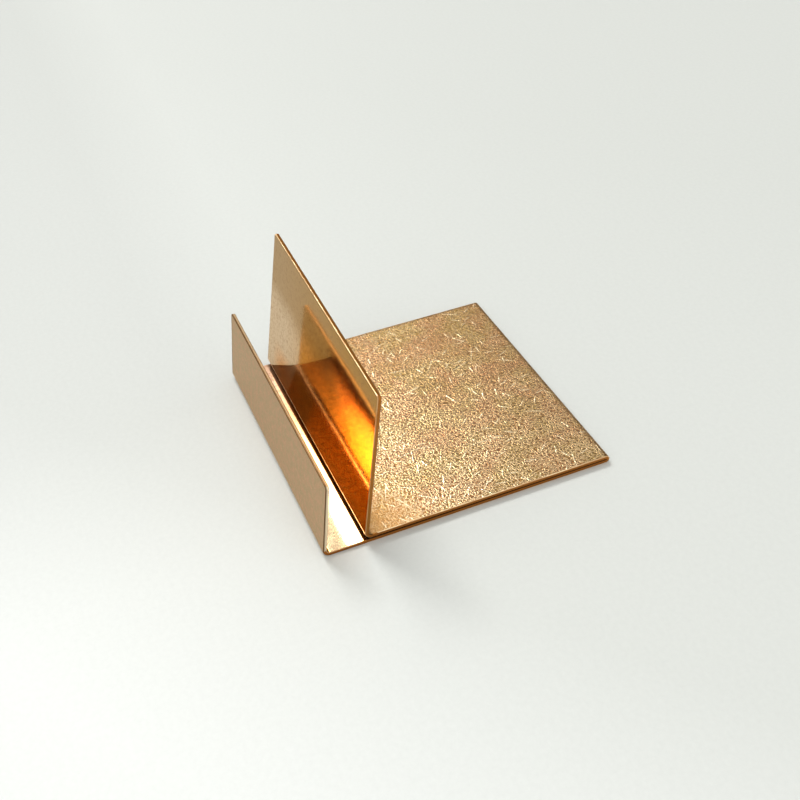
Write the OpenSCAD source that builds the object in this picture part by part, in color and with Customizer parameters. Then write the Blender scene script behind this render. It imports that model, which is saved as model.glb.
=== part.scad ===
// Place card holder folded from one strip of thin copper sheet.
// The strip runs: front lip, lip bend, base plate, hem fold, top plate, leaf bend, leaf.
// Each panel and each bend is a solid of its own, and neighbours meet face to face at the bend lines.
// X runs along the card slot, Y from the lip at the front to the hem at the back, and Z up.
// The origin is at the middle of the base, on the table.

/* [Sheet] */
// Thickness of the sheet
sheet_t = 0.65; // [0.5:0.05:1]
// Width of the strip, which is the length of the card slot
strip_w = 50; // [30:1:120]
// Softened corner along the sheared edges
edge_ease = 0.12; // [0.04:0.02:0.18]
// Radius of the free corners of the lip and the leaf
corner_r = 0.5; // [0.2:0.1:2]

/* [Base] */
// Depth of the base, from the front of the lip bend to the back of the hem
base_len = 50; // [40:1:120]
// Inside radius of the hem at the back edge
hem_r = 0.03; // [0.02:0.01:0.2]
// Angle in degrees by which the hem has sprung open
hem_open_angle = 0.16; // [0:0.02:0.6]

/* [Card slot] */
// Clear width between the feet of the lip and the leaf
slot_w = 6.3; // [4.5:0.1:12]
// Inside radius of the lip bend and the leaf bend
bend_r = 0.5; // [0.3:0.1:1.5]
// Height of the lip's highest point above the table
lip_h = 13.8; // [6:0.1:20]
// Lean of the lip from upright, in degrees, towards the leaf
lip_lean_angle = 7.6; // [0:0.2:12]
// Height of the leaf's highest point above the table
leaf_h = 27.6; // [15:0.1:60]
// Lean of the leaf from upright, in degrees, over the base
leaf_lean_angle = 9.4; // [0:0.2:20]

/* [Hidden] */
$fn = 96;
copper = [0.80, 0.56, 0.40];
copper_bend = [0.72, 0.47, 0.33];
right_angle = 90;
half_turn = 180;

// The middle of a softened corner lies on an arc of radius edge_ease
ease_mid = edge_ease * (1 - cos(right_angle / 2));
// The two upright bends share one outside radius
bend_out = bend_r + sheet_t;
half_w = strip_w / 2;
// Centre of the lip bend: its outside just reaches the table and the front of the base
lip_bend_y = bend_out - base_len / 2;
lip_bend_z = bend_out;
// Centre of the hem, whose outside just reaches the table and the back of the base
hem_out = hem_r + sheet_t;
hem_y = base_len / 2 - hem_out;
hem_z = hem_out;
// Centre of the leaf bend: slot_w behind the lip's foot, and bend_out above the top plate's underside
leaf_bend_y = sheet_t + slot_w + bend_out - base_len / 2;
leaf_bend_z = hem_z + (hem_r + bend_out + (hem_y - leaf_bend_y) * sin(hem_open_angle)) / cos(hem_open_angle);
// Length of the top plate between its two bends, along its slight slope
top_run = (hem_y - leaf_bend_y) * cos(hem_open_angle) + (leaf_bend_z - hem_z) * sin(hem_open_angle);

// Length of an upright panel that starts at a bend centred at height z and ends at height top_z
function upright_run(top_z, z, lean) = (top_z - z - bend_out * sin(lean)) / cos(lean);

// The strip cut across: its thickness along x from the inside of a bend, its width along y,
// with the four long corners softened by two short flats each
module strip_section() {
    corner = [[edge_ease, 0], [ease_mid, ease_mid], [0, edge_ease]];
    polygon([
        for (p = corner) [p.x, p.y - half_w],
        for (i = [2:-1:0]) [corner[i].x, half_w - corner[i].y],
        for (p = corner) [sheet_t - p.x, half_w - p.y],
        for (i = [2:-1:0]) [sheet_t - corner[i].x, corner[i].y - half_w],
    ]);
}

// A flat stretch of strip that travels along +Y, with its underside at height z
module run(length, z) {
    translate([0, 0, z])
        rotate([-right_angle, -right_angle, 0])
            linear_extrude(length)
                strip_section();
}

// A bend about the X axis, with inside radius r, from angle start through angle sweep.
// Angles are seen from +X: 0 is towards +Y, and 90 is up
module bend(r, start, sweep) {
    rotate([right_angle, 0, right_angle])
        rotate([0, 0, start])
            rotate_extrude(angle = sweep)
                translate([r, 0])
                    strip_section();
}

// The outline of an upright panel's free end: straight sides, then two rounded corners
module panel_outline(length) {
    translate([-half_w, 0])
        square([strip_w, length - corner_r]);
    translate([corner_r - half_w, 0])
        square([strip_w - 2 * corner_r, length]);
    for (side = [-1, 1])
        translate([side * (half_w - corner_r), length - corner_r])
            circle(corner_r);
}

// The free end seen from the side, with the two corners across its thickness softened
module end_profile(length, z) {
    top_z = z + sheet_t;
    polygon([
        [0, z],
        [length - edge_ease, z],
        [length - ease_mid, z + ease_mid],
        [length, z + edge_ease],
        [length, top_z - edge_ease],
        [length - ease_mid, top_z - ease_mid],
        [length - edge_ease, top_z],
        [0, top_z],
    ]);
}

// A lip or leaf: it leaves a bend centred on the X axis and leans towards +Y
module upright_panel(length, lean) {
    rotate([right_angle - lean, 0, 0])
        intersection() {
            run(length, bend_r);
            translate([0, 0, bend_r])
                linear_extrude(sheet_t)
                    panel_outline(length);
            rotate([right_angle, 0, right_angle])
                linear_extrude(strip_w, center = true)
                    end_profile(length, bend_r);
        }
}

module front_lip() {
    color(copper)
        translate([0, lip_bend_y, lip_bend_z])
            upright_panel(upright_run(lip_h, lip_bend_z, lip_lean_angle), lip_lean_angle);
}

module lip_bend() {
    color(copper_bend)
        translate([0, lip_bend_y, lip_bend_z])
            bend(bend_r, half_turn - lip_lean_angle, right_angle + lip_lean_angle);
}

module base_plate() {
    color(copper)
        translate([0, lip_bend_y, 0])
            run(hem_y - lip_bend_y, 0);
}

module hem_fold() {
    color(copper_bend)
        translate([0, hem_y, hem_z])
            bend(hem_r, -right_angle, half_turn - hem_open_angle);
}

module top_plate() {
    color(copper)
        translate([0, hem_y, hem_z])
            rotate([half_turn - hem_open_angle, 0, 0])
                run(top_run, -hem_out);
}

module leaf_bend() {
    color(copper_bend)
        translate([0, leaf_bend_y, leaf_bend_z])
            bend(bend_r, half_turn - leaf_lean_angle, right_angle - hem_open_angle + leaf_lean_angle);
}

module card_leaf() {
    color(copper)
        translate([0, leaf_bend_y, leaf_bend_z])
            upright_panel(upright_run(leaf_h, leaf_bend_z, leaf_lean_angle), leaf_lean_angle);
}

front_lip();
lip_bend();
base_plate();
hem_fold();
top_plate();
leaf_bend();
card_leaf();
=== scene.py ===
# %% [markdown]
# # A place card holder folded from one strip of copper sheet
#
# On the table this is a single strip, 50 mm wide, folded three times. It starts at the top of the
# low front lip, turns into the floor of the card slot, runs on to the back edge, is hemmed back
# over itself, comes forward as the top plate and turns up once more into the tall leaf that the
# card leans on.
#
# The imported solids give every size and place. This script dresses them: it folds a finer strip
# with softened edges, gives the two sides of the sheet their own finish, and lights it as on a
# white table beside a window.

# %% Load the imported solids
import math
import bpy
import numpy as np
from mathutils import Matrix, Vector


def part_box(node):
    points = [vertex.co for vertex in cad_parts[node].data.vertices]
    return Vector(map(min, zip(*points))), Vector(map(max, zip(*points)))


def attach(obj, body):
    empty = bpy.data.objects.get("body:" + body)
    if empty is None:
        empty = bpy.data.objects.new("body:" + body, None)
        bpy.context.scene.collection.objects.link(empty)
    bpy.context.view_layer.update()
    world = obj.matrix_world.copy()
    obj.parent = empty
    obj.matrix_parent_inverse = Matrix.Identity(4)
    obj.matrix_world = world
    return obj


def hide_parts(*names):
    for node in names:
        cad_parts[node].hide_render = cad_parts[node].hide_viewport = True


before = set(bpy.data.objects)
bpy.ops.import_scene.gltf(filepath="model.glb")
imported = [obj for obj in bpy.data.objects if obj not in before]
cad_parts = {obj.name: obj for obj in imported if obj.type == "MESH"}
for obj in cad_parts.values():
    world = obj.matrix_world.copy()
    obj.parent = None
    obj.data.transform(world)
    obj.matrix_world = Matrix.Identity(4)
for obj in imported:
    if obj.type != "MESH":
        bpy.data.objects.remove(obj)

scene = bpy.context.scene
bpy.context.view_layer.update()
print("packed solids:", ", ".join(sorted(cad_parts)))

# %% [markdown]
# ## The camera
#
# The photograph looks down on the holder from the right-hand end of the slot, about 39 degrees
# above the table, with the camera tipped a little to one side. These figures were worked out from
# the straight edges of the sheet. The camera is placed by its aim and its angles, because these are
# what a photographer would change.

# %% Camera
mm = 0.001
aim = Vector((-5.10, 0.15, 0.0)) * mm
look_round, look_down, roll = math.radians(69.8), math.radians(39.0), math.radians(3.8)
distance = 202.7 * mm

forward = Vector((-math.sin(look_round) * math.cos(look_down),
                  math.cos(look_round) * math.cos(look_down),
                  -math.sin(look_down)))
level = Vector((math.cos(look_round), math.sin(look_round), 0))
down = forward.cross(level)
right = level * math.cos(roll) + down * math.sin(roll)
up = right.cross(forward)
camera_turn = Matrix((right, up, -forward)).transposed().to_4x4()

camera = bpy.data.objects.new("camera", bpy.data.cameras.new("camera"))
scene.collection.objects.link(camera)
camera.matrix_world = Matrix.Translation(aim - forward * distance) @ camera_turn
camera.data.lens = 51.25
camera.data.sensor_width = 36
camera.data.clip_start = 10 * mm
scene.camera = camera
print("camera at", [round(c / mm, 1) for c in camera.matrix_world.translation], "mm, looks along",
      [round(c, 4) for c in forward])

# %% [markdown]
# ## Small helpers for building node trees
#
# Both the folding and the finishes are made with nodes. A node tree written out in full is long
# and hard to read, so these helpers keep each line to one idea: `put` places a node and feeds its
# sockets, and `Sums` writes arithmetic, colour mixes and noise for one tree. They hold no sizes
# or colours, which stay in the cells that use them.


# %% Put a node in a tree
def feed(tree, socket, value):
    """Joins a socket to an output, or sets it to a plain value."""
    if isinstance(value, bpy.types.NodeSocket):
        tree.links.new(value, socket)
    else:
        socket.default_value = value


def put(tree, kind, *values, named=(), **settings):
    """A new node. Values feed its first sockets in order, named ones feed sockets by name."""
    made = tree.nodes.new(kind)
    for key, value in settings.items():
        setattr(made, key, value)
    for socket, value in zip([s for s in made.inputs if s.enabled], values):
        feed(tree, socket, value)
    for key, value in dict(named).items():
        feed(tree, next(s for s in made.inputs if s.enabled and s.name == key), value)
    return made


def first(made):
    """A node's first output in use."""
    return next(s for s in made.outputs if s.enabled)


# %% Write sums with nodes
class Sums:
    """Writes arithmetic, colour mixes and noise with the nodes of one tree."""

    def __init__(self, tree):
        self.tree = tree

    def do(self, operation, *values):
        return first(put(self.tree, "ShaderNodeMath", *values, operation=operation))

    def add(self, a, b):
        return self.do("ADD", a, b)

    def sub(self, a, b):
        return self.do("SUBTRACT", a, b)

    def mul(self, a, b):
        return self.do("MULTIPLY", a, b)

    def div(self, a, b):
        return self.do("DIVIDE", a, b)

    def most(self, a, b):
        return self.do("MAXIMUM", a, b)

    def share(self, value, low, high, start=0.0, end=1.0):
        """How far value has gone from low to high, from 0 to 1 or between two other numbers."""
        return first(put(self.tree, "ShaderNodeMapRange", value, low, high, start, end))

    def vector(self, x, y, z):
        return first(put(self.tree, "ShaderNodeCombineXYZ", x, y, z))

    def parts(self, vector):
        return put(self.tree, "ShaderNodeSeparateXYZ", vector).outputs

    def length(self, vector):
        return first(put(self.tree, "ShaderNodeVectorMath", vector, operation="LENGTH"))

    def scaled(self, vector, factor):
        return first(put(self.tree, "ShaderNodeVectorMath", vector, operation="SCALE",
                         named={"Scale": factor}))

    def noise(self, place, per_unit, detail=2.0, rough=0.5):
        return first(put(self.tree, "ShaderNodeTexNoise", named={
            "Vector": place, "Scale": per_unit, "Detail": detail, "Roughness": rough}))

    def blend(self, how_far, start, end):
        """A colour between two. A colour is red, green and blue, or another node's output."""
        start, end = ((*c, 1.0) if isinstance(c, tuple) else c for c in (start, end))
        return first(put(self.tree, "ShaderNodeMix", how_far, start, end, data_type="RGBA"))


# %% [markdown]
# ## The folded strip
#
# A press brake takes a flat blank with softened edges and turns it about one line after another.
# The same is done here, stretch by stretch: seven stretches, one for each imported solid, so every
# stretch stands exactly where its solid is. A box with many evenly spaced rows and columns would
# show flat facets at the bends and dead sharp edges, so the first tree spaces them closer near
# the edges and rounds them, and the second lays each point along an arc.
#
# The rule is short. Along a stretch the heading turns evenly, so a point at distance s lies at the
# end of a chord, and the thickness is laid off at right angles to the heading.
#
# One thing is left to this script. The leaf of the real holder was bent by hand and is a degree
# and a half steeper at one end of the slot than at the other. The solid leans evenly, by the mean
# of the two. The twist is added here, and moves the leaf's top corners by a third of a millimetre.

# %% Sizes of the strip
sheet_t = 0.65 * mm
strip_w = 50 * mm
edge_ease = 0.12 * mm
corner_r = 0.5 * mm
bend_r = 0.5 * mm
hem_r = 0.03 * mm
lip_lean, leaf_lean, hem_open = math.radians(7.6), math.radians(9.4), math.radians(0.16)
lip_h, leaf_h = 13.8 * mm, 27.6 * mm
leaf_twist = math.radians(0.8)
twist_lift = 0.045 * mm  # how much the twist lifts one corner of the leaf

bend_out = bend_r + sheet_t
hem_out = hem_r + sheet_t
low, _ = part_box("lip_bend")
lip_pivot = Vector((low.y + bend_out, low.z + bend_out))
low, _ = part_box("hem_fold")
hem_pivot = Vector((low.y, low.z + hem_out))
low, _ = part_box("leaf_bend")
leaf_pivot = Vector((low.y + bend_out, low.z + bend_out))
print("fold lines, y and z in mm:",
      *[[round(c / mm, 3) for c in pivot] for pivot in (lip_pivot, hem_pivot, leaf_pivot)])


# %% Lay out the stretches
def upright_run(top, pivot, lean):
    """Length of an upright panel from its bend to its highest point."""
    return (top - pivot.y - bend_out * math.sin(lean)) / math.cos(lean)


quarter = math.pi / 2
lip_turn = quarter + lip_lean
hem_turn = 2 * quarter - hem_open
leaf_turn = quarter - hem_open + leaf_lean
lip_run = upright_run(lip_h, lip_pivot, lip_lean)
leaf_run = upright_run(leaf_h, leaf_pivot, leaf_lean)
top_run = ((hem_pivot.x - leaf_pivot.x) * math.cos(hem_open)
           + (leaf_pivot.y - hem_pivot.y) * math.sin(hem_open))
stretches = [  # name, length along the outer side, turn, rows, free end
    ("front_lip", lip_run, 0.0, 14, "start"),
    ("lip_bend", bend_out * lip_turn, lip_turn, 24, ""),
    ("base_plate", hem_pivot.x - lip_pivot.x, 0.0, 4, ""),
    ("hem_fold", hem_out * hem_turn, hem_turn, 32, ""),
    ("top_plate", top_run, 0.0, 4, ""),
    ("leaf_bend", bend_r * leaf_turn, -leaf_turn, 24, ""),
    ("card_leaf", leaf_run, 0.0, 18, "end"),
]
starts, so_far = {}, 0.0
for name, length, *_ in stretches:
    starts[name] = so_far / mm
    so_far += length
print("strip before folding:", round(so_far / mm, 2), "mm long,", strip_w / mm, "mm wide")
print("the stretches start at", {name: round(start, 2) for name, start in starts.items()}, "mm")


# %% Start a tree, set its inputs
def new_tree(name, floats=(), whole=(), yes_no=(), finishes=()):
    """An empty tree for a modifier, with named inputs."""
    tree = bpy.data.node_groups.new(name, "GeometryNodeTree")
    tree.is_modifier = True
    face = tree.interface
    face.new_socket("Geometry", in_out="INPUT", socket_type="NodeSocketGeometry")
    face.new_socket("Geometry", in_out="OUTPUT", socket_type="NodeSocketGeometry")
    kinds = ((floats, "Float"), (whole, "Int"), (yes_no, "Bool"), (finishes, "Material"))
    for labels, kind in kinds:
        for label in labels:
            face.new_socket(label, in_out="INPUT", socket_type="NodeSocket" + kind)
    given = {s.name: s for s in tree.nodes.new("NodeGroupInput").outputs}
    return tree, given, tree.nodes.new("NodeGroupOutput").inputs[0]


def set_inputs(modifier, values):
    """Sets a modifier's inputs through the identifiers of its tree's sockets."""
    for item in modifier.node_group.interface.items_tree:
        if item.in_out == "INPUT" and item.name in values:
            modifier[item.identifier] = values[item.name]


# %% [markdown]
# ### Cutting the blank
#
# The blank is a box one unit long each way, cut into rows along the strip and columns across it.
# Evenly spaced lines would waste faces on the flat and leave the edges sharp, and a bevel modifier
# would round the joints between the stretches too. So each grid line is moved: the four nearest
# an edge lie on the softened edge's quarter circle, the next four span the rounded corner, and
# the rest share the flat. A stretch with a free end gets the same treatment there. The exact
# direction that the surface faces is kept with each point, so that the softened edge shades
# smoothly into the flat.

# %% Space the rows and columns
eased_by, rounded_by = 4, 8  # the line at which the softened edge ends, and the rounded corner
cut, given, result = new_tree(
    "cut the blank", whole=("Rows", "Columns"), yes_no=("Free Start", "Free End"),
    floats=("From", "To", "Width", "Thickness", "Edge Ease", "Corner Radius"))
m = Sums(cut)
length = m.sub(given["To"], given["From"])
half_w = m.mul(given["Width"], 0.5)
ease, corner = given["Edge Ease"], given["Corner Radius"]
block = put(cut, "GeometryNodeMeshCube", (1, 1, 1), m.add(given["Columns"], 1),
            m.add(given["Rows"], 1), 2)
across, along, side = m.parts(first(put(cut, "GeometryNodeInputPosition")))


def from_edge(steps, cells, far):
    """How far in a grid line lies: over the softened edge, then over the corner, then evenly."""
    arc = m.do("COSINE", m.mul(m.share(steps, 0.0, eased_by), quarter))
    eased = m.mul(ease, m.sub(1.0, arc))
    rounded = m.mul(m.share(steps, eased_by, rounded_by), m.sub(corner, ease))
    even = m.mul(m.share(steps, rounded_by, cells), m.sub(far, corner))
    return m.add(m.add(eased, rounded), even)


def either(question, no, yes):
    return first(put(cut, "GeometryNodeSwitch", question, no, yes, input_type="FLOAT"))


free = m.most(given["Free Start"], given["Free End"])
toward = either(given["Free End"], -1.0, 1.0)
steps_x = m.mul(m.sub(0.5, m.do("ABSOLUTE", across)), given["Columns"])
steps_s = m.mul(m.sub(0.5, m.mul(along, toward)), given["Rows"])
in_x = from_edge(steps_x, m.mul(given["Columns"], 0.5), half_w)
in_s = either(free, 1.0, from_edge(steps_s, given["Rows"], length))
print("each edge is softened over", eased_by, "lines, each corner rounded by line", rounded_by)

# %% Round its corners and soften its edges
near_x = m.most(m.sub(corner, in_x), 0.0)
near_s = m.most(m.sub(corner, in_s), 0.0)
reach = m.do("SQRT", m.add(m.mul(near_x, near_x), m.mul(near_s, near_s)))
nearest = m.most(near_x, near_s)
pull = m.sub(1.0, m.div(nearest, reach))
round_x = m.add(in_x, m.mul(near_x, pull))
round_s = m.add(in_s, m.mul(near_s, pull))
tip_out = m.share(m.sub(corner, nearest), ease, 0.0)
tip_up = m.do("SQRT", m.sub(1.0, m.mul(tip_out, tip_out)))
half_t = m.mul(given["Thickness"], 0.5)
face_way, side_way = m.do("SIGN", side), m.do("SIGN", across)
x = m.mul(side_way, m.sub(half_w, round_x))
even_s = m.add(given["From"], m.mul(m.add(along, 0.5), length))
free_s = either(given["Free End"], m.add(given["From"], round_s), m.sub(given["To"], round_s))
s = either(free, even_s, free_s)
t = m.add(half_t, m.mul(face_way, m.sub(half_t, m.mul(ease, m.sub(1.0, tip_up)))))
print("blank tree so far:", len(cut.nodes), "nodes")

# %% Keep where each point was on the flat strip, and which way it faced
out = m.div(tip_out, reach)
faces = m.vector(m.mul(m.mul(side_way, near_x), out), m.mul(m.mul(toward, near_s), out),
                 m.mul(face_way, tip_up))
facing = put(cut, "GeometryNodeStoreNamedAttribute", block.outputs["Mesh"], True, "facing", faces,
             data_type="FLOAT_VECTOR", domain="POINT")
placed = put(cut, "GeometryNodeSetPosition", first(facing), True, m.vector(x, s, t))
kept = put(cut, "GeometryNodeStoreNamedAttribute", first(placed), True, "developed",
           first(put(cut, "GeometryNodeInputPosition")), data_type="FLOAT_VECTOR", domain="POINT")
cut.links.new(first(kept), result)
print("blank tree:", len(cut.nodes), "nodes")

# %% [markdown]
# ### Folding it
#
# The second tree is the press brake. It knows where the stretch starts, which way the strip is
# heading there and how far it turns. A curve with the section swept along it would do the same
# for one bend, but it would lose the place of each point on the flat strip, which the finishes
# need. The leaf's small twist about its fold line is added last.

# %% Turn the strip
fold, given, result = new_tree(
    "fold the strip", finishes=("Outer Finish", "Inner Finish", "Edge Finish"),
    floats=("From", "To", "Start Y", "Start Z", "Heading", "Turn", "Width", "Thickness",
            "Twist From", "Twist To", "Pivot Y", "Pivot Z"))
m = Sums(fold)
x, s, t = m.parts(first(put(fold, "GeometryNodeInputPosition")))
gone = m.sub(s, given["From"])
part = m.share(s, given["From"], given["To"])
half_turned = m.mul(m.mul(given["Turn"], part), 0.5)
heading = m.add(given["Heading"], m.mul(half_turned, 2.0))
chord_way = m.add(given["Heading"], half_turned)
# A turn of nothing would divide nothing by nothing, so a millionth of a radian is added
safe = m.add(half_turned, 1e-6)
chord = m.mul(gone, m.div(m.do("SINE", safe), safe))
cos_h, sin_h = m.do("COSINE", heading), m.do("SINE", heading)
chord_y = m.mul(chord, m.do("COSINE", chord_way))
chord_z = m.mul(chord, m.do("SINE", chord_way))
y = m.add(given["Start Y"], m.sub(chord_y, m.mul(sin_h, t)))
z = m.add(given["Start Z"], m.add(chord_z, m.mul(cos_h, t)))
sharpest = max(abs(stretch[2]) for stretch in stretches)
print("the sharpest fold turns", round(math.degrees(sharpest), 1), "degrees")

# %% Turn the directions with it, and twist the leaf
fx, fs, ft = m.parts(first(put(
    fold, "GeometryNodeInputNamedAttribute", "facing", data_type="FLOAT_VECTOR")))
facing = m.vector(fx, m.sub(m.mul(fs, cos_h), m.mul(ft, sin_h)),
                  m.add(m.mul(fs, sin_h), m.mul(ft, cos_h)))
more_twist = m.mul(m.sub(given["Twist To"], given["Twist From"]), part)
twist = m.mul(m.div(x, m.mul(given["Width"], 0.5)), m.add(given["Twist From"], more_twist))


def twisted(vector, centre):
    return first(put(fold, "ShaderNodeVectorRotate", rotation_type="X_AXIS",
                     named={"Vector": vector, "Center": centre, "Angle": twist}))


facing = twisted(facing, (0, 0, 0))
where = twisted(m.vector(x, y, z), m.vector(0.0, given["Pivot Y"], given["Pivot Z"]))
marked = put(fold, "GeometryNodeStoreNamedAttribute", given["Geometry"], True, "facing", facing,
             data_type="FLOAT_VECTOR", domain="POINT")
bent = put(fold, "GeometryNodeSetPosition", first(marked), True, where)
smooth = put(fold, "GeometryNodeSetShadeSmooth", first(bent), True, True)
print("fold tree so far:", len(fold.nodes), "nodes")

# %% Give each side its finish
hair = 1e-6  # a thousandth of a millimetre
real = put(fold, "GeometryNodeRealizeInstances", first(smooth))
height = m.parts(first(put(
    fold, "GeometryNodeInputNamedAttribute", "developed", data_type="FLOAT_VECTOR")))[2]
is_outer = put(fold, "FunctionNodeCompare", height, hair,
               data_type="FLOAT", operation="LESS_THAN")
is_inner = put(fold, "FunctionNodeCompare", height, m.sub(given["Thickness"], hair),
               data_type="FLOAT", operation="GREATER_THAN")
edges = put(fold, "GeometryNodeSetMaterial", first(real), True, given["Edge Finish"])
outer = put(fold, "GeometryNodeSetMaterial", first(edges), first(is_outer), given["Outer Finish"])
inner = put(fold, "GeometryNodeSetMaterial", first(outer), first(is_inner), given["Inner Finish"])
fold.links.new(first(inner), result)
print("fold tree:", len(fold.nodes), "nodes")

# %% [markdown]
# ## The finishes
#
# The sheet has two sides and a cut edge, and each looks different. The side that faces outwards
# was rubbed all over with something coarse, so it is a satin tangle of short strokes. The side
# that faces into the slot is polished and mirrors the lip, the floor and the sky. The edges were
# cut with a shear and carry a burr with a painted highlight, and a dark tear that is also painted
# shade where two layers meet.
#
# All three follow the flat strip: every point has kept its place across and along the blank and
# through its thickness, so a pattern runs on round a bend as it does on real sheet, and nothing
# slides or stretches. The numbers below are millimetres across the strip from its middle, and
# along it from the top of the lip.


# %% Start a finish
def new_finish(name, metallic, grazing_tint=(1.0, 1.0, 1.0)):
    """A material with one Principled shader, and a writer of sums for its tree."""
    finish = bpy.data.materials.new(name)
    finish.use_nodes = True
    tree = finish.node_tree
    tree.nodes.clear()
    shader = put(tree, "ShaderNodeBsdfPrincipled",
                 named={"Metallic": metallic, "Specular Tint": (*grazing_tint, 1.0)})
    put(tree, "ShaderNodeOutputMaterial", first(shader))
    return finish, shader, Sums(tree)


def on_the_strip(m):
    """A point's place on the flat strip, in millimetres."""
    place = put(m.tree, "ShaderNodeAttribute", attribute_name="developed").outputs["Vector"]
    return m.scaled(place, 1 / mm)


def set_colour_and_relief(shader, m, colour, roughness, heights, depth):
    """Feeds a shader its colour, roughness and relief, in which a height of 1 is one depth."""
    relief = first(put(m.tree, "ShaderNodeBump",
                       named={"Strength": 1.0, "Distance": depth, "Height": heights}))
    fed = {"Base Color": colour, "Roughness": roughness, "Normal": relief}
    for socket, value in fed.items():
        feed(m.tree, shader.inputs[socket], value)


floor_at, hem_at, top_at, bend_at, leaf_at = (
    starts[name] for name in ("base_plate", "hem_fold", "top_plate", "leaf_bend", "card_leaf"))
print("floor from", round(floor_at, 1), "hem from", round(hem_at, 1),
      "leaf from", round(leaf_at, 1), "mm")

# %% [markdown]
# ### One scatter of strokes
#
# A stroke is a short mark a few tenths of a millimetre wide, with a direction and a slight bow of
# its own. Drawing thousands as geometry would be far too heavy, and plain noise gives blots
# without direction. So the surface is divided into irregular cells, each with three chance
# numbers. The first turns the stroke, the second bows it, and the third says whether the cell has
# one. Several scatters of different size, laid over each other, hide the cells.

# %% Draw a stroke in each cell
strokes = bpy.data.node_groups.new("strokes", "ShaderNodeTree")
strokes.interface.new_socket("Place", in_out="INPUT", socket_type="NodeSocketVector")
for label in ("Spacing", "Length", "Width", "Curl", "Seed", "Share"):
    strokes.interface.new_socket(label, in_out="INPUT", socket_type="NodeSocketFloat")
strokes.interface.new_socket("Mark", in_out="OUTPUT", socket_type="NodeSocketFloat")
given = {s.name: s for s in strokes.nodes.new("NodeGroupInput").outputs}
m = Sums(strokes)
# The seed moves the cells by an amount of its own, so no two scatters fall together
shift = m.vector(m.mul(given["Seed"], 17.3), m.mul(given["Seed"], 5.1), 0.0)
shifted = put(strokes, "ShaderNodeVectorMath",
              m.scaled(given["Place"], m.div(1.0, given["Spacing"])), shift, operation="ADD")
cells = put(strokes, "ShaderNodeTexVoronoi", voronoi_dimensions="2D",
            named={"Vector": first(shifted), "Scale": 1.0})
offset = put(strokes, "ShaderNodeVectorMath", first(shifted), cells.outputs["Position"],
             operation="SUBTRACT")
chance = m.parts(cells.outputs["Color"])
turned = put(strokes, "ShaderNodeVectorRotate", rotation_type="Z_AXIS",
             named={"Vector": first(offset), "Angle": m.mul(chance[0], 2 * math.pi)})
lengthways, sideways, _ = m.parts(m.scaled(first(turned), given["Spacing"]))
sag = m.div(m.mul(lengthways, lengthways), given["Length"])
bow = m.mul(m.mul(m.sub(chance[1], 0.5), given["Curl"]), sag)
line = m.share(m.do("ABSOLUTE", m.sub(sideways, bow)), m.mul(given["Width"], 0.5), 0.0)
ends = m.share(m.do("ABSOLUTE", lengthways),
               m.mul(given["Length"], 0.5), m.mul(given["Length"], 0.2))
shown = m.do("LESS_THAN", chance[2], given["Share"])
put(strokes, "NodeGroupOutput", m.mul(m.mul(line, ends), shown))


def scatter(m, place, spacing, length, width, curl, seed, share=1.0):
    """Strokes of one size, in millimetres, one in each cell, or in a share of the cells."""
    return first(put(m.tree, "ShaderNodeGroup", node_tree=strokes, named={
        "Place": place, "Spacing": spacing, "Length": length, "Width": width, "Curl": curl,
        "Seed": seed, "Share": share}))


print("strokes group:", len(strokes.nodes), "nodes")

# %% [markdown]
# ### The satin side
#
# Rubbing cuts bright scratches into the sheet and leaves darker, duller metal between them. Their
# colours are set far apart, so the bright strokes and scratches are also painted glints and the
# dark strokes painted shade. On the top plate both are strong, and stronger towards the end of the
# slot that the camera is at, where painted glints stand in for more of the window's light. The
# leaf's back had less of it. Towards the foot of the leaf, at the camera's end, the bend kept the
# rubbing tool off, so a smoother corner with a brown stain is left there.
#
# The lip's face was hardly rubbed. It only has a fine low-contrast speckle with pink and greenish
# blotches, as handled copper gets.

# %% Satin side: how hard each place was rubbed
satin, shader, m = new_finish("satin_copper", 1.0, (0.95, 0.85, 0.72))
place = on_the_strip(m)
across, along, _ = m.parts(place)
foot_across, foot_along = 23.0, bend_at - 1.1
past_lip = m.share(along, floor_at - 2.5, floor_at + 0.5)
from_foot = m.length(m.vector(m.sub(across, foot_across), m.sub(along, foot_along), 0.0))
clear_of_foot = m.share(from_foot, 0.0, 13.0, 0.45, 1.0)
# towards the camera's end the strokes are stronger, partly as painted glints for the window's light
# there
near_end = m.share(across, -20.0, 10.0, 0.80, 1.0)
on_plate = m.share(along, leaf_at - 1.5, leaf_at + 1.0, 1.0, 0.65)
rubbed = m.mul(m.mul(past_lip, clear_of_foot), m.mul(near_end, on_plate))
print("rubbing fades towards the foot of the leaf,", foot_across, "mm across and",
      round(foot_along, 1), "mm along")

# %% Satin side: its strokes and scratches
sizes_of = {  # spacing, length and width in millimetres, curl, seed, share of the cells in use
    "raised strokes": ((0.48, 0.95, 0.30, 1.2, 1, 1.0), (0.64, 1.25, 0.28, 1.2, 2, 1.0)),
    "sunk strokes": ((0.50, 1.00, 0.32, 1.5, 4, 1.0), (0.66, 1.30, 0.30, 1.5, 5, 1.0)),
    "scratches": ((2.6, 2.4, 0.24, 0.30, 6, 0.55), (6.0, 4.5, 0.20, 0.15, 7, 0.60)),
}
raised, sunk, scratch = (
    m.most(*(scatter(m, place, *size) for size in pair)) for pair in sizes_of.values())
patch = m.noise(m.vector(across, m.add(along, 40.0), 0.0), 0.16)
# the bright strokes are painted brighter towards the camera's end: painted glint
patchy_painted_glint = m.mul(m.share(patch, 0.35, 0.65, 0.65, 1.0), m.share(across, -15.0, 18.0, 0.70, 1.0))
for kind, pair in sizes_of.items():
    print(kind, "are", " and ".join(str(size[1]) for size in pair), "mm long")

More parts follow.
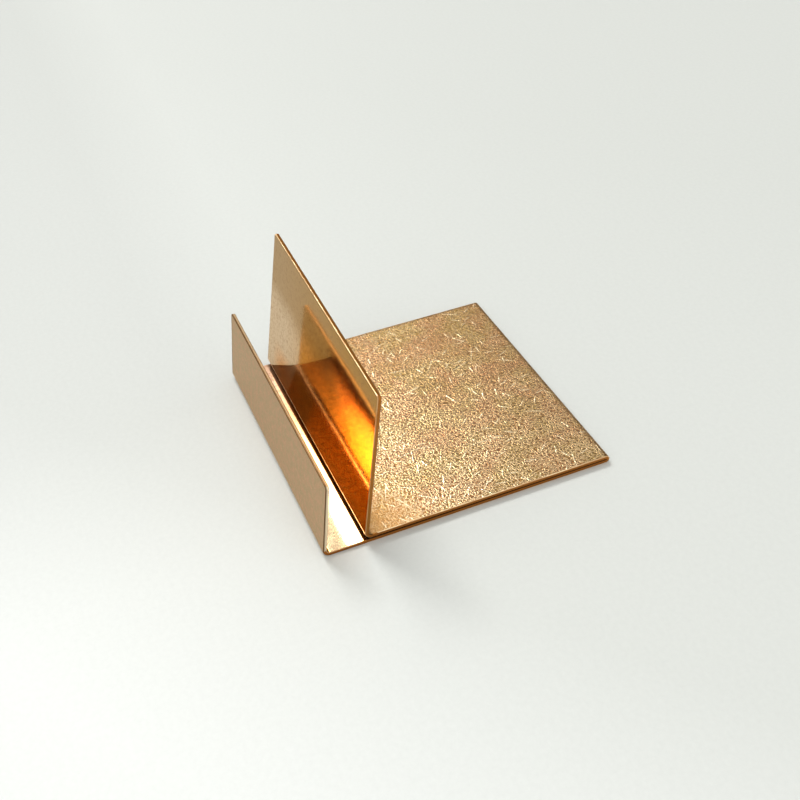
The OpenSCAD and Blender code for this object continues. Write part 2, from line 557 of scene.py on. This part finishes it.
# %% Satin side: the colours under the strokes
pink_at_hem, green_at_hem = (0.555, 0.27, 0.11), (0.475, 0.295, 0.09)
pink_at_leaf, green_at_leaf = (0.375, 0.18, 0.072), (0.315, 0.195, 0.052)
pink_lip, green_lip = (0.625, 0.395, 0.255), (0.495, 0.385, 0.225)
darkens_from, darkens_to = top_at + 5.0, top_at + 27.0
cloud = m.share(m.noise(place, 0.16, 3.0), 0.40, 0.60)
plate = m.blend(m.share(along, darkens_from, darkens_to),
                m.blend(cloud, pink_at_hem, green_at_hem),
                m.blend(cloud, pink_at_leaf, green_at_leaf))
blotch = m.share(m.noise(place, 0.9, 4.0, 0.65), 0.40, 0.62)
colour = m.blend(past_lip, m.blend(blotch, green_lip, pink_lip), plate)
print("the plate darkens from", round(darkens_from, 1), "to", round(darkens_to, 1), "mm along")

# %% Satin side: the colours of the strokes
# the bright strokes and scratches are partly painted glints, and the dark sunk strokes partly
# painted shade
speckle, sunk_copper_and_shade = (0.36, 0.18, 0.10), (0.18, 0.07, 0.016)
stroke_and_glint_at_hem, stroke_and_glint_at_leaf = (0.90, 0.67, 0.39), (0.79, 0.61, 0.38)
brown_stain, scratch_and_painted_glint = (0.34, 0.175, 0.06), (0.98, 0.84, 0.60)
unrubbed = m.share(rubbed, 0.0, 1.0, 0.30, 0.0)
colour = m.blend(m.mul(m.most(raised, sunk), unrubbed), colour, speckle)
colour = m.blend(m.mul(sunk, m.mul(rubbed, 0.95)), colour, sunk_copper_and_shade)
bright_and_painted_glint = m.blend(m.share(along, top_at + 10.0, top_at + 31.0), stroke_and_glint_at_hem, stroke_and_glint_at_leaf)
colour = m.blend(m.mul(raised, m.mul(rubbed, patchy_painted_glint)), colour, bright_and_painted_glint)
ragged = m.share(m.noise(place, 0.6, 4.0, 0.65), 0.42, 0.58, 0.21, 0.81)
colour = m.blend(m.mul(m.share(from_foot, 7.5, 3.0), ragged), colour, brown_stain)
colour = m.blend(m.mul(scratch, m.mul(rubbed, 0.9)), colour, scratch_and_painted_glint)
print("satin side so far:", len(m.tree.nodes), "nodes")

# %% [markdown]
# Two narrow places are painted darker. The outside of the hem was stretched as it was folded and
# its stroked surface turns away from the light, so painted shade lies on it, and along the far end
# of the sheet lies a painted thin shadow of the cut edge.
#
# The relief is only a hundredth of a millimetre deep. The roughness stays near a quarter, so the
# strokes glint one by one and the plate as a whole still shows where the window is. Copper seen
# at a low angle turns paler, which the specular tint sets. It is a plain colour, the same all
# over, so it is given where a finish is started.

# %% Satin side: darker rims, roughness and relief
# painted shade on the outside of the hem, and a painted shadow along the far cut edge
painted_rim_shade = (0.17, 0.085, 0.03)
outside_of_hem = m.mul(m.share(along, hem_at - 0.5, hem_at + 0.5),
                       m.share(along, top_at + 0.5, top_at - 0.3))
far_rim = m.share(across, -24.3, -24.7)
colour = m.blend(m.mul(m.most(outside_of_hem, far_rim), 0.7), colour, painted_rim_shade)
mottle = m.noise(place, 1.2, 4.0, 0.6)
roughness = m.add(m.share(rubbed, 0.0, 1.0, 0.31, 0.225), m.mul(mottle, 0.06))
relief = m.add(m.sub(raised, sunk), m.mul(scratch, 1.2))
heights = m.mul(relief, m.share(rubbed, 0.0, 1.0, 0.10, 1.0))
set_colour_and_relief(shader, m, colour, roughness, heights, 0.011 * mm)
print("satin side:", len(m.tree.nodes), "nodes")

# %% [markdown]
# ### The polished side
#
# A mirror shows its surroundings, so most of what one sees in the slot is the lip, the floor and
# the window, mirrored once or several times, each time a shade deeper. The copper's colour isn't
# even, and part of it is painted reflection. The lip's inside is dull where fingers touch it and
# clean further down. The floor is a clear orange in the middle, paler towards the camera, partly a
# painted reflection of the window, and browner at its far end. The leaf is paler below at its far
# end, a little redder along the far half of its foot, and darker brown above, in a soft, slightly
# wavy border: painted reflections of the lit and the shaded table and of the glow in the slot. On
# the near half there is a straw-coloured band between the two, a painted reflection of the yellow
# glow. Painting one even copper would lose all of this.

# %% Polished side: the lip's inside and the floor
polished, shader, m = new_finish("polished_copper", 1.0, (0.95, 0.82, 0.66))
place = on_the_strip(m)
across, along, _ = m.parts(place)
handled, clean = (0.78, 0.68, 0.46), (0.98, 0.60, 0.16)
# the paler near end of the floor is partly a painted reflection of the window
far_floor, mid_floor, near_floor_and_sheen = (0.61, 0.38, 0.26), (0.95, 0.54, 0.20), (0.96, 0.70, 0.42)
lip_inside = m.blend(m.share(along, 3.0, 9.0), handled, clean)
floor = m.blend(m.share(across, -13.0, 2.0), far_floor, mid_floor)
floor = m.blend(m.share(across, 2.0, 20.0), floor, near_floor_and_sheen)
colour = m.blend(m.share(along, floor_at - 2.5, floor_at - 0.5), lip_inside, floor)
print("lip's inside and floor:", len(m.tree.nodes), "nodes")

# %% Polished side: the leaf, with painted reflections, pale below and dark above
painted_shade_from, painted_shade_to = 12.6, 17.2  # millimetres above the leaf's bend
# the paler far leaf, the red foot, the darker brown above and the straw band are painted
# reflections
far_leaf_lit_reflection, near_leaf, red_foot_reflection = (0.77, 0.60, 0.44), (0.75, 0.46, 0.20), (0.86, 0.36, 0.09)
far_painted_shade, near_painted_shade, straw_glow_reflection = (0.48, 0.33, 0.19), (0.48, 0.26, 0.065), (0.42, 0.30, 0.09)
upper_layer = m.share(along, hem_at, top_at)
leaf = m.blend(m.share(across, -16.0, 2.0), far_leaf_lit_reflection, near_leaf)
foot = m.blend(m.share(across, -16.0, -2.0), red_foot_reflection, near_leaf)
at_foot = m.mul(m.share(along, leaf_at + 7.0, leaf_at + 3.0), m.share(across, -22.0, -17.0))
colour = m.blend(upper_layer, colour, m.blend(at_foot, leaf, foot))
waver = m.add(along, m.mul(m.sub(m.noise(place, 0.12), 0.5), 5.0))
painted_shade_tone = m.blend(m.share(across, -20.0, 12.0), far_painted_shade, near_painted_shade)
colour = m.blend(m.share(waver, leaf_at + painted_shade_from, leaf_at + painted_shade_to), colour, painted_shade_tone)
band = m.mul(m.share(waver, leaf_at + 8.0, leaf_at + 11.0),
             m.share(along, leaf_at + 20.0, leaf_at + 16.0))
colour = m.blend(m.mul(band, m.share(across, -5.0, 8.0, 0.0, 0.7)), colour, straw_glow_reflection)
print("the leaf's painted shade runs from", painted_shade_from, "to", painted_shade_to, "mm above its bend")

# %% [markdown]
# Small brown spots and a few faint strokes lie over all of it. Where the floor runs in under the
# leaf bend, and on the bend's underside, near-black painted shade lies in the crease. Just above,
# the crown of the bend is stretched and rougher than the rest, so that it catches the window as one
# thin bright line along the foot of the leaf, and a near-white painted highlight is laid on it as
# well.

# %% Polished side: spots, painted crease shade and a painted highlight on the crown of the bend
brown_spot, crown_painted_highlight, painted_crease_shade = (0.30, 0.15, 0.07), (1.0, 0.88, 0.80), (0.05, 0.02, 0.01)
painted_crease_shade_from = floor_at + 5.2
faint = scatter(m, place, 0.5, 0.9, 0.16, 1.0, 11)
spots = m.share(m.noise(place, 1.3, 4.0, 0.7), 0.48, 0.70, 0.0, 0.60)
colour = m.blend(m.add(spots, m.mul(faint, 0.35)), colour, brown_spot)
# a near-white painted highlight on the crown of the bend
crown = m.mul(upper_layer, m.share(along, leaf_at, leaf_at - 0.16))
colour = m.blend(crown, colour, crown_painted_highlight)
# near-black painted shade in the crease under the leaf bend and on the bend's underside
crevice = m.mul(m.share(along, painted_crease_shade_from, painted_crease_shade_from + 0.6),
                m.share(along, hem_at, hem_at - 5.0))
under_bend = m.mul(upper_layer, m.share(along, bend_at + 0.45, bend_at + 0.25))
colour = m.blend(m.mul(m.most(crevice, under_bend), 0.92), colour, painted_crease_shade)
print("grime starts", round(painted_crease_shade_from, 1), "mm along, under the leaf bend")

# %% Polished side: roughness and relief
roughness = m.add(m.add(0.07, m.mul(faint, 0.04)), m.mul(crown, 0.30))
heights = m.add(m.mul(faint, 0.02), m.mul(m.noise(place, 0.07, 1.0), 1.2))
set_colour_and_relief(shader, m, colour, roughness, heights, 0.03 * mm)
print("polished side:", len(m.tree.nodes), "nodes")

# %% [markdown]
# ### The sheared edges
#
# A shear drags the metal down as it cuts and tears the last of it. So across the thickness the
# edge has a thin burr, a broad band of dragged copper and a dark torn part, narrow on the plates
# and wider on the lip. The burr is painted bright, partly as a painted highlight. On the two flat
# layers the burr lies on the outside and the dark parts meet at the gap between them, so the dark
# there is also painted shade in the gap. The lip's cut end was dressed with a file and is paler.
# Its top edge has one painted highlight line between two darker ones. The leaf's cut end is darker
# brown towards its foot.

# %% Sheared edges: where each kind of edge is
sheared, shader, m = new_finish("sheared_copper", 1.0, (0.95, 0.72, 0.48))
place = on_the_strip(m)
across, along, depth = m.parts(place)
on_lip = m.share(along, floor_at - 1.75, floor_at - 2.15)
lip_top = m.share(along, 1.5, 1.0)
leaf_top = m.share(along, leaf_at + 25.5, leaf_at + 26.5)
cut_end = m.share(m.do("ABSOLUTE", across), 24.5, 24.7)
leaf_end = m.mul(cut_end, m.share(along, leaf_at - 0.5, leaf_at + 1.0))
layers_from = floor_at + 5.0
on_layers = m.mul(m.share(along, layers_from, layers_from + 1.0),
                  m.share(along, bend_at, bend_at - 1.0))
from_burr = m.add(m.mul(on_layers, depth),
                  m.mul(m.sub(1.0, on_layers), m.sub(sheet_t / mm, depth)))
print("the burr changes sides", round(layers_from, 1), "and", round(bend_at, 1), "mm along")

# %% Sheared edges: the cut and the tear
dark_drag, light_drag = (0.31, 0.105, 0.022), (0.54, 0.205, 0.045)
dragged_top, filed_top, filed_end = (0.45, 0.22, 0.075), (0.50, 0.32, 0.18), (0.98, 0.80, 0.56)
torn_copper_and_gap_shade, brown_end = (0.09, 0.038, 0.012), (0.40, 0.17, 0.04)
tear_from, lip_tear_from, tear_to = 0.52, 0.32, 0.59  # millimetres from the burr
drag = m.noise(m.vector(across, along, m.mul(depth, 6.0)), 3.0, 3.0, 0.7)
dragged = m.blend(m.share(drag, 0.3, 0.7), dark_drag, light_drag)
dragged = m.blend(leaf_top, dragged, dragged_top)
colour = m.blend(on_lip, dragged, m.blend(cut_end, filed_top, filed_end))
# on the two flat layers the dark torn part is also painted shade in the gap between them
torn_from = m.share(on_lip, 0.0, 1.0, tear_from, lip_tear_from)
torn_and_gap_shade = m.mul(m.share(from_burr, torn_from, tear_to), m.share(leaf_end, 0.0, 1.0, 1.0, 0.4))
colour = m.blend(torn_and_gap_shade, colour, torn_copper_and_gap_shade)
# the leaf's cut end is darker brown towards its foot
darker_towards_foot = m.mul(leaf_end, m.share(along, leaf_at + 21.0, leaf_at + 5.0))
colour = m.blend(darker_towards_foot, colour, brown_end)
print("the tear takes the last", round(sheet_t / mm - tear_from, 2), "mm of the thickness, and",
      round(sheet_t / mm - lip_tear_from, 2), "mm on the lip")

# %% Sheared edges: the burr and its painted highlight
burr_painted_highlight = (0.97, 0.72, 0.42)
uneven = m.share(m.noise(place, 0.25), 0.40, 0.60, 0.45, 1.0)
worn_off = m.share(m.most(leaf_end, lip_top), 0.0, 1.0, 1.0, 0.40)
# the bright burr is partly a painted highlight, and the ridge on the lip's top a painted highlight
# line
burr_and_highlight = m.mul(m.share(from_burr, 0.14, 0.08), m.mul(uneven, worn_off))
painted_ridge_highlight = m.share(m.do("ABSOLUTE", m.sub(from_burr, 0.30)), 0.12, 0.05, 0.0, 0.5)
burr_and_highlight = m.most(burr_and_highlight, m.mul(lip_top, painted_ridge_highlight))
feed(m.tree, shader.inputs["Base Color"], m.blend(burr_and_highlight, colour, burr_painted_highlight))
shader.inputs["Roughness"].default_value = 0.3
print("sheared edges:", len(m.tree.nodes), "nodes")

# %% [markdown]
# ## Making the strip
#
# The seven stretches are made one after the other, as the brake makes them. Each starts where the
# last one ended, with the heading it had there. Each gets the two trees as modifiers, is turned
# into a plain mesh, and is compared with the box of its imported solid. A soft shading direction is
# set on every point, from the one kept while folding.


# %% Follow the strip from stretch to stretch
def heads(angle):
    """The direction, in y and z, of a heading."""
    return Vector((math.cos(angle), math.sin(angle)))


def folded(start, heading, length, turn):
    """Where a stretch ends, and the heading there."""
    half = turn / 2 + 1e-9  # a straight stretch would divide nothing by nothing
    chord = length * math.sin(half) / half
    return start + heads(heading + turn / 2) * chord, heading + turn


def plain_mesh(piece):
    """Turns a piece and its modifiers into a plain mesh, with the directions that it kept."""
    graph = bpy.context.evaluated_depsgraph_get()
    mesh = bpy.data.meshes.new_from_object(
        piece.evaluated_get(graph), preserve_all_data_layers=True, depsgraph=graph)
    piece.modifiers.clear()
    piece.data = mesh
    directions = np.zeros(len(mesh.vertices) * 3, np.float32)
    mesh.attributes["facing"].data.foreach_get("vector", directions)
    mesh.attributes.remove(mesh.attributes["facing"])
    mesh.normals_split_custom_set_from_vertices(directions.reshape(-1, 3).tolist())
    return mesh


heading = -quarter - lip_lean
start = lip_pivot + heads(heading - quarter) * bend_out - heads(heading) * lip_run
print("the strip starts at the lip's top, y and z", [round(c / mm, 2) for c in start], "mm")

# %% Make the seven stretches
columns = 32
twists = {"leaf_bend": (0.0, leaf_twist), "card_leaf": (leaf_twist, leaf_twist)}
so_far, pieces = 0.0, {}
for name, length, turn, rows, free in stretches:
    if name == "card_leaf":
        length -= twist_lift  # so that the twisted leaf is no taller than its solid
    piece = bpy.data.objects.new("sheet_" + name, bpy.data.meshes.new(name))
    scene.collection.objects.link(piece)
    blank, bender = (piece.modifiers.new(step, "NODES") for step in ("cut", "fold"))
    blank.node_group, bender.node_group = cut, fold
    twist_from, twist_to = twists.get(name, (0.0, 0.0))
    sheet = {"From": so_far, "To": so_far + length, "Width": strip_w, "Thickness": sheet_t}
    set_inputs(blank, {
        **sheet, "Edge Ease": edge_ease, "Corner Radius": corner_r, "Rows": rows,
        "Columns": columns, "Free Start": free == "start", "Free End": free == "end"})
    set_inputs(bender, {
        **sheet, "Start Y": start.x, "Start Z": start.y, "Heading": heading, "Turn": turn,
        "Outer Finish": satin, "Inner Finish": polished, "Edge Finish": sheared,
        "Pivot Y": leaf_pivot.x, "Pivot Z": leaf_pivot.y,
        "Twist From": twist_from, "Twist To": twist_to})
    mesh = plain_mesh(piece)
    pieces[name] = piece
    points = np.array([v.co for v in mesh.vertices])
    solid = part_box(name)
    gap = max(np.abs(points.min(0) - solid[0]).max(), np.abs(points.max(0) - solid[1]).max())
    print(f"{name}: {len(mesh.polygons)} faces,",
          f"differs from its solid's box by up to {gap / mm:.3f} mm")
    start, heading = folded(start, heading, length, turn)
    so_far += length

# %% [markdown]
# ## Standing them on the body
#
# The holder has no joint, so all seven stretches ride on its one body. Each stands for the solid
# of the same name.

# %% Stand them on the body
for name, piece in pieces.items():
    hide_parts(name)
    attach(piece, "root")
print(len(pieces), "pieces ride on the body")

# %% [markdown]
# ## The table
#
# A plain white board with a faint grain, wide enough to meet the horizon from any side. It is a
# little paler towards the camera than behind the holder, which is painted light, and a shade darker
# before the lip, which is a painted soft shadow. Both are in the board's own colour here, so that
# the light on the holder stays plain.

# %% Table
table_size = 6.0
behind, in_front = (0.62, 0.63, 0.605), (0.74, 0.75, 0.735)
bpy.ops.mesh.primitive_plane_add(size=table_size)
table = bpy.context.object
table.name = "table"
paint, shader, m = new_finish("table", 0.0)
place = m.scaled(put(m.tree, "ShaderNodeTexCoord").outputs["Object"], 1 / mm)
x, y, _ = m.parts(place)
nearer = m.sub(m.mul(x, 0.6), m.mul(y, 0.8))
# paler towards the camera: painted light falling off across the board
painted_light_falloff = m.add(m.share(nearer, -110.0, -30.0, 0.0, 0.14), m.share(nearer, 30.0, 75.0, 0.0, 0.86))
colour = m.blend(painted_light_falloff, behind, in_front)
# darker before the lip: a painted soft shadow
painted_shadow_before_lip = m.mul(m.share(y, -10.0, -35.0), m.share(x, 20.0, -20.0, 0.0, 0.09))
grain = m.mul(m.sub(m.noise(place, 1.1, 3.0, 0.7), 0.5), 0.10)
brightness = m.sub(m.add(1.0, grain), painted_shadow_before_lip)
feed(m.tree, shader.inputs["Base Color"], m.scaled(colour, brightness))
shader.inputs["Roughness"].default_value = 0.5
table.data.materials.append(paint)
print("table:", table_size, "m square")

# %% [markdown]
# ## The room
#
# Polished copper is mostly what it mirrors, so the room matters as much as the metal. Lamps would
# show as hard white shapes in the leaf. A sky all round, at strength 1, lights everything plainly
# instead, and a few broad parts of it differ. Darker walls stand behind the holder and, lower, at
# its far end, which gives the metal its deep tones. One window in that far wall makes the glow in
# the slot and the sparkle on the plate. A fainter, lower patch of light beside it fills out the
# glow. Near the horizon the sky is pale on every side, so that a low view has a pale background
# too. The holder's soft shadow comes from the same sky.

# %% Room
daylight = (0.97, 0.98, 0.955, 1)
world = bpy.data.worlds.new("room")
scene.world = world
world.use_nodes = True
world.node_tree.nodes.clear()
m = Sums(world.node_tree)
x, y, z = m.parts(put(m.tree, "ShaderNodeTexCoord").outputs["Generated"])
# A thousandth is added, because straight up the level part is nothing and is divided by
level_part = m.add(m.do("SQRT", m.add(m.mul(x, x), m.mul(y, y))), 0.001)


def towards(azimuth):
    """The cosine of the angle, seen from above, between a direction and an azimuth in degrees."""
    angle = math.radians(azimuth)
    return m.div(m.add(m.mul(x, math.cos(angle)), m.mul(y, math.sin(angle))), level_part)


def spot(azimuth, sides, foot, top):
    """A soft-edged patch of sky, by how it fades in at its sides, its foot and its top."""
    return m.mul(m.share(towards(azimuth), *sides), m.mul(m.share(z, *foot), m.share(z, *top)))


# An azimuth of 90 lies past the hem, and 180 past the far end of the slot
wall_behind = m.mul(m.share(towards(105), 0.35, 0.62), m.share(z, 0.78, 0.60))
wall_at_end = m.mul(m.share(towards(190), 0.60, 0.85), m.share(z, 0.60, 0.53))
window = m.mul(spot(185, (0.945, 0.985), (0.655, 0.71), (0.82, 0.785)), 26.0)
glow = m.mul(spot(170, (0.970, 0.988), (0.585, 0.64), (0.70, 0.66)), 3.0)
above_horizon = m.share(z, 0.24, 0.34, 0.15, 1.0)
darker = m.mul(m.most(wall_behind, wall_at_end), above_horizon)
strength = m.add(m.sub(1.0, m.mul(darker, 0.72)), m.most(window, glow))
sky = put(m.tree, "ShaderNodeBackground", daylight, strength)
put(m.tree, "ShaderNodeOutputWorld", first(sky))
print("room:", len(m.tree.nodes), "nodes")

# %% [markdown]
# ## How the picture is shown
#
# The picture is shown as it is rendered, with no film look.

# %% Show the picture plainly
scene.view_settings.view_transform = "Standard"
